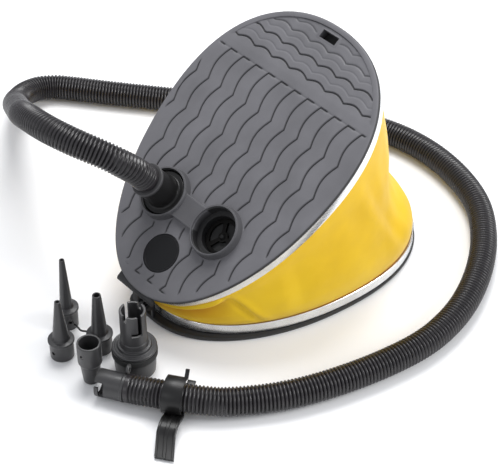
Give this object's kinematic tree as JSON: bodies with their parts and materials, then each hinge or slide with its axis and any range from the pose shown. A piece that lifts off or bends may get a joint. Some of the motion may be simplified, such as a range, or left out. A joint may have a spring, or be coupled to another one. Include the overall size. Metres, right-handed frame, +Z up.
{
  "type": "foot air pump",
  "caption": "Foot air pump: a hinged pedal over an oval bellows, with ports, a corrugated hose and loose nozzles.",
  "frame": {"origin": "on the floor under the centre of the base oval, in the tray's flat underside", "axes": "+Z up, +Y from the hinge end to the far end of the pump, +X towards the free intake port's side"},
  "size_m": [0.5678, 0.4752, 0.2252],
  "materials": {
    "pedal_grey": "fine moulded grain with sunk scalloped grooves",
    "tray_black": "moulded, satin",
    "nozzle_grey": "moulded, satin",
    "connector_black": "moulded, semi-gloss",
    "hose_black": "corrugated soft PVC, semi-gloss",
    "badge_black": null,
    "foot_rubber": "matt",
    "flap_rubber": "matt",
    "yellow_fabric": "coated woven fabric, slight sheen",
    "galvanised_steel": "bright strip",
    "spring_steel": "drawn wire"
  },
  "bodies": {
    "base": {"base_tray": "tray_black", "foot_left_rear": "foot_rubber", "foot_right_rear": "foot_rubber", "foot_left_front": "foot_rubber", "foot_right_front": "foot_rubber", "base_band": "galvanised_steel", "hinge_pin": "spring_steel", "pin_clip_left": "spring_steel", "pin_clip_right": "spring_steel", "bellows": "yellow_fabric", "return_spring": "spring_steel", "hose_lead": "hose_black", "hose_run": "hose_black", "hose_end_connector": "nozzle_grey"},
    "pedal": {"pedal_plate": "pedal_grey", "pedal_band": "galvanised_steel", "badge_disc": "badge_black", "intake_seat": "connector_black", "outlet_seat": "connector_black", "intake_pin": "connector_black", "outlet_pin": "connector_black"},
    "intake_flap": {"intake_flap": "flap_rubber"},
    "outlet_flap": {"outlet_flap": "flap_rubber"},
    "pump_connector": {"pump_connector": "connector_black"},
    "hose_clip": {"hose_clip": "connector_black"},
    "tethered_nozzles": {"needle_nozzle": "nozzle_grey", "large_cone_nozzle": "nozzle_grey", "nozzle_strap": "connector_black"},
    "small_cone_nozzle": {"small_cone_nozzle": "nozzle_grey"},
    "reducer_adapter": {"reducer_adapter": "nozzle_grey"},
    "valve_adapter": {"valve_adapter": "nozzle_grey", "adapter_gasket": "flap_rubber"}
  },
  "joints": [
    {"name": "pedal_hinge", "type": "hinge", "parent": "base", "child": "pedal", "pos_m": [0, -0.1585, 0.0257], "axis": [1, 0, 0], "range_deg": [-37, 0], "stiffness_Nm_per_rad": 4, "springref_deg": 28.65, "deforming": ["bellows", "return_spring", "hose_lead"]},
    {"name": "intake_flap_lift", "type": "slide", "parent": "pedal", "child": "intake_flap", "axis": [0, 0.5976, -0.8018], "range_m": [0, 0.0025], "stiffness_N_per_m": 60, "springref_m": -0.002},
    {"name": "outlet_flap_lift", "type": "slide", "parent": "pedal", "child": "outlet_flap", "axis": [0, -0.5976, 0.8018], "range_m": [0, 0.0025], "stiffness_N_per_m": 60, "springref_m": -0.002},
    {"name": "connector_twist", "type": "hinge", "parent": "pedal", "child": "pump_connector", "pos_m": [-0.0388, -0.09701, 0.09748], "axis": [0, -0.5976, 0.8018], "range_deg": [0, 25]},
    {"name": "clip_swivel", "type": "hinge", "parent": "base", "child": "hose_clip", "pos_m": [0.102, -0.204, 0.0173], "axis": [-0.8, -0.6, 0], "range_deg": [0, 45]},
    {"name": "nozzle_pair_lift", "type": "slide", "parent": "base", "child": "tethered_nozzles", "axis": [0, 0, 1], "range_m": [0, 0.12]},
    {"name": "small_nozzle_lift", "type": "slide", "parent": "base", "child": "small_cone_nozzle", "axis": [0, 0, 1], "range_m": [0, 0.12]},
    {"name": "reducer_lift", "type": "slide", "parent": "base", "child": "reducer_adapter", "axis": [0, 0, 1], "range_m": [0, 0.12]},
    {"name": "valve_adapter_lift", "type": "slide", "parent": "base", "child": "valve_adapter", "axis": [0, 0, 1], "range_m": [0, 0.12]}
  ]
}
